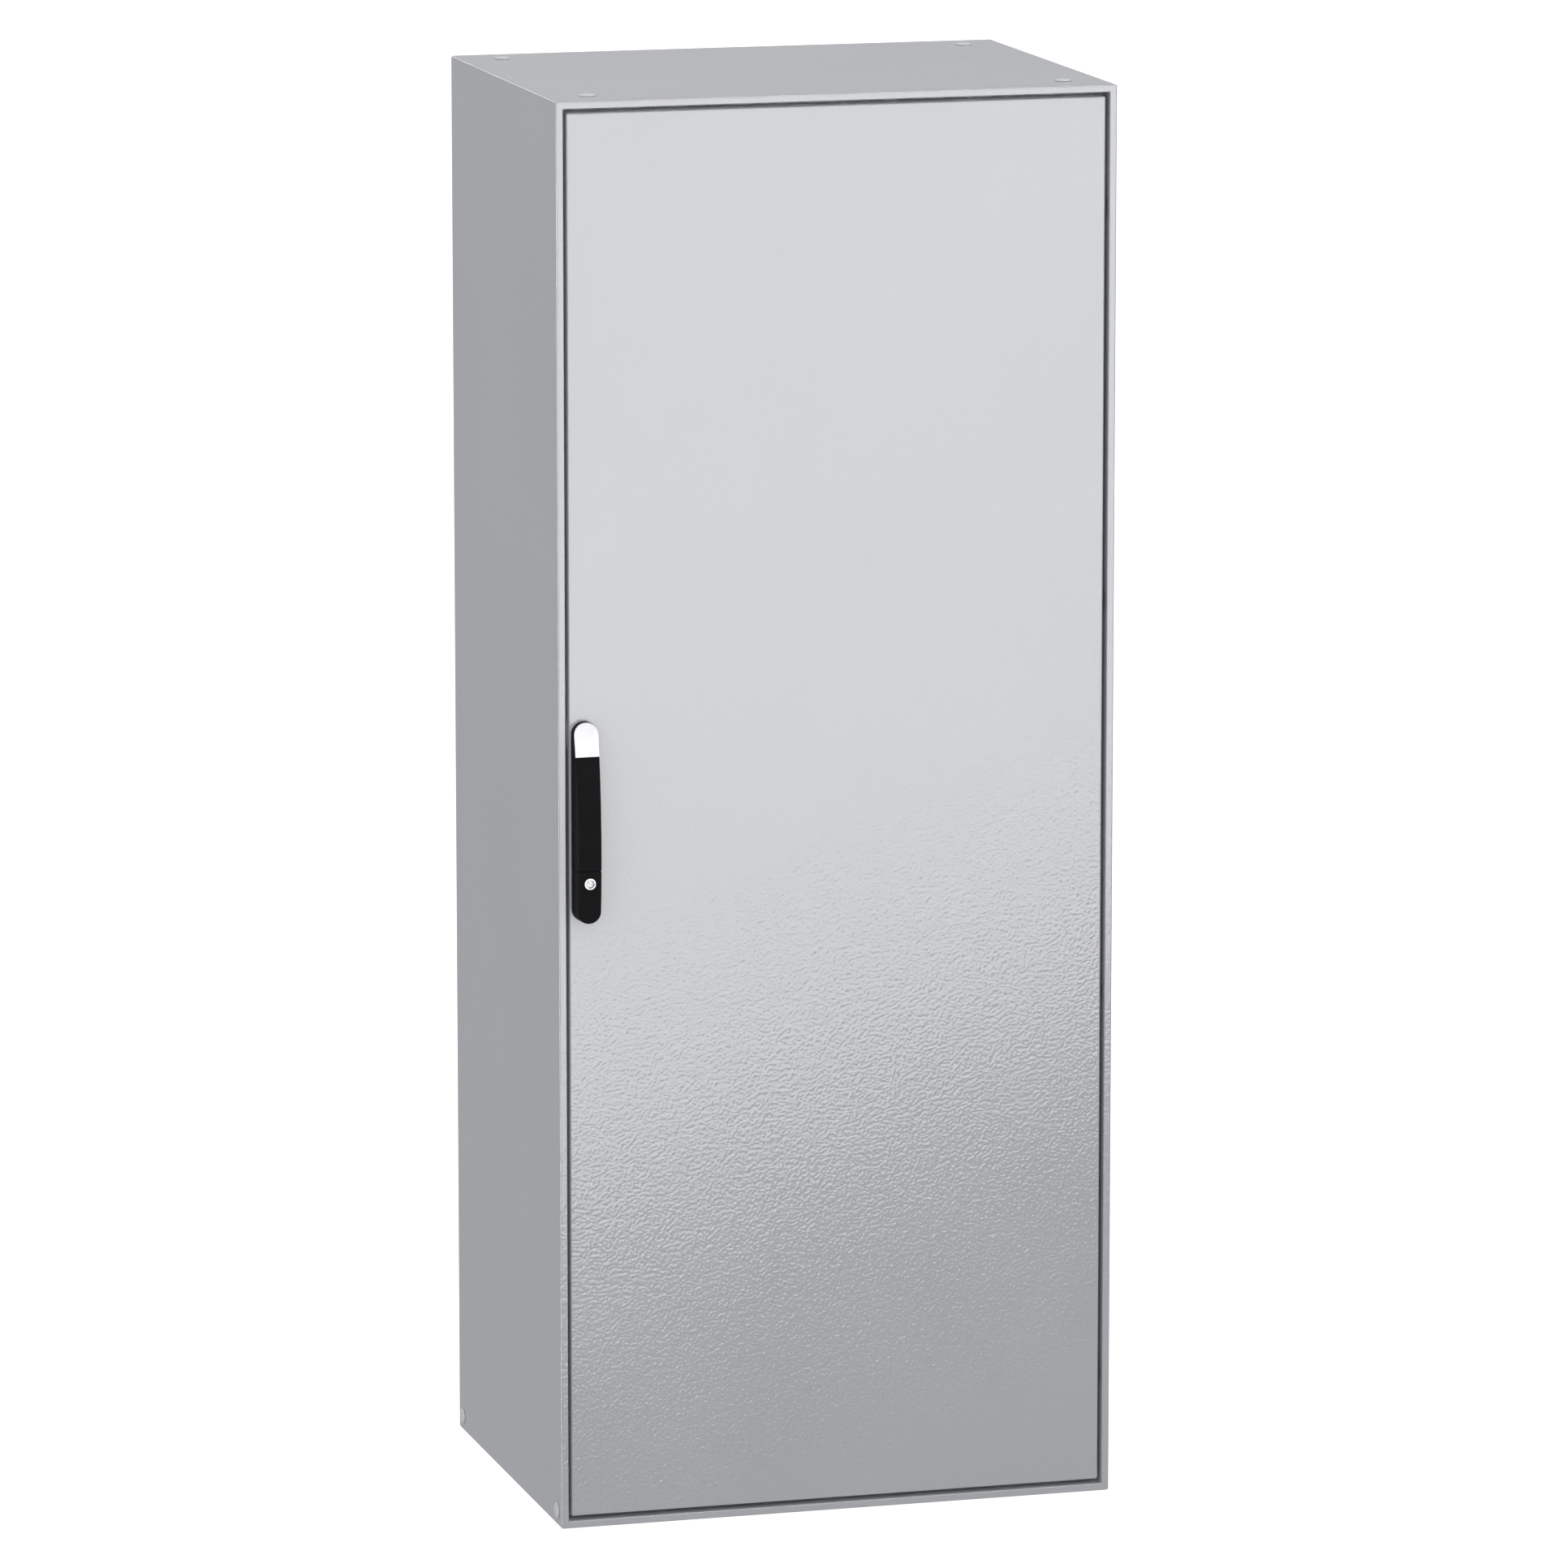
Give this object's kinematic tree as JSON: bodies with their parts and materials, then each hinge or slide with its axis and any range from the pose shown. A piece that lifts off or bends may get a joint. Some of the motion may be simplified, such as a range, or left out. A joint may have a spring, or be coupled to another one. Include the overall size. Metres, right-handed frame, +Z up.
{
  "type": "switchboard cabinet",
  "caption": "Floor-standing steel enclosure with an inset hinged door, a swing handle with locking rods, a rear cover, gland plates and a mounting plate inside.",
  "frame": {"origin": "on the floor, at the centre of the bounding box seen from above", "axes": "+Z up; the door faces -Y; +X is to the right when facing the door, where its hinges are"},
  "size_m": [0.8056, 0.632, 2.0028],
  "materials": {
    "paint": "textured powder coat, light grey",
    "galvanised": "zinc-magnesium coated sheet, matt",
    "zinc": "bright zinc plating",
    "chrome": "polished chrome plating",
    "brass": "plain",
    "black_plastic": "fine-grained black polyamide",
    "white_plastic": "smooth white",
    "plug_plastic": "light grey polyethylene",
    "foam": "foamed-in polyurethane seal"
  },
  "bodies": {
    "cabinet": {"body_shell": "paint", "earth_stud_body": "brass", "gland_plate_front": "galvanised", "gland_plate_middle": "galvanised", "gland_plate_rear": "galvanised", "hinge_bracket_1": "zinc", "hinge_bracket_2": "zinc", "hinge_bracket_3": "zinc", "hinge_bracket_4": "zinc", "keeper_bottom": "zinc", "keeper_side": "zinc", "keeper_top": "zinc", "mounting_plate": "galvanised", "plate_foot_left": "galvanised", "plate_foot_right": "galvanised", "plate_hanger_left": "galvanised", "plate_hanger_right": "galvanised", "plate_rail_left": "galvanised", "plate_rail_right": "galvanised", "rear_panel": "paint", "rear_seal": "foam", "roof_plug_front_left": "plug_plastic", "roof_plug_front_right": "plug_plastic", "roof_plug_rear_left": "plug_plastic", "roof_plug_rear_right": "plug_plastic", "side_plug_left_front": "plug_plastic", "side_plug_left_rear": "plug_plastic", "side_plug_right_front": "plug_plastic", "side_plug_right_rear": "plug_plastic"},
    "door": {"door_panel": "paint", "door_gasket": "foam", "door_stiffener_left": "paint", "door_stiffener_right": "paint", "door_stiffener_top": "paint", "door_stiffener_bottom": "paint", "earth_stud_door": "brass", "hinge_leaf_1": "zinc", "hinge_leaf_2": "zinc", "hinge_leaf_3": "zinc", "hinge_leaf_4": "zinc", "hinge_pin_1": "zinc", "hinge_pin_2": "zinc", "hinge_pin_3": "zinc", "hinge_pin_4": "zinc", "handle_base": "black_plastic", "lock_barrel": "chrome", "rod_guide_upper": "black_plastic", "rod_guide_lower": "black_plastic", "lock_gearbox": "zinc"},
    "swivel": {"handle_hub": "black_plastic", "handle_cap": "white_plastic", "lock_pinion": "zinc", "latch_cam": "zinc"},
    "lever": {"handle_lever": "black_plastic", "lever_pin": "zinc"},
    "lock": {"lock_insert": "chrome"},
    "upper_rod": {"upper_rod": "zinc", "upper_rod_tip": "black_plastic"},
    "lower_rod": {"lower_rod": "zinc", "lower_rod_tip": "black_plastic"}
  },
  "joints": [
    {"name": "door_swing", "type": "hinge", "parent": "cabinet", "child": "door", "pos_m": [0.3745, -0.2735, 1], "axis": [0, 0, 1], "range_deg": [0, 120]},
    {"name": "handle_turn", "type": "hinge", "parent": "door", "child": "swivel", "pos_m": [-0.3632, -0.2805, 1.126], "axis": [0, -1, 0], "range_deg": [0, 90]},
    {"name": "lever_lift", "type": "hinge", "parent": "swivel", "child": "lever", "pos_m": [-0.3632, -0.3005, 1.0925], "axis": [-1, 0, 0], "range_deg": [0, 40]},
    {"name": "lock_turn", "type": "hinge", "parent": "door", "child": "lock", "pos_m": [-0.3632, -0.2805, 0.9214], "axis": [0, -1, 0], "range_deg": [0, 90]},
    {"name": "upper_rod_draw", "type": "slide", "parent": "door", "child": "upper_rod", "axis": [0, 0, -1], "range_m": [0, 0.0126]},
    {"name": "lower_rod_draw", "type": "slide", "parent": "door", "child": "lower_rod", "axis": [0, 0, 1], "range_m": [0, 0.0126]}
  ],
  "couplings": [
    {"joint": "upper_rod_draw", "follows": "handle_turn", "m_per_rad": 0.008},
    {"joint": "lower_rod_draw", "follows": "handle_turn", "m_per_rad": 0.008}
  ]
}
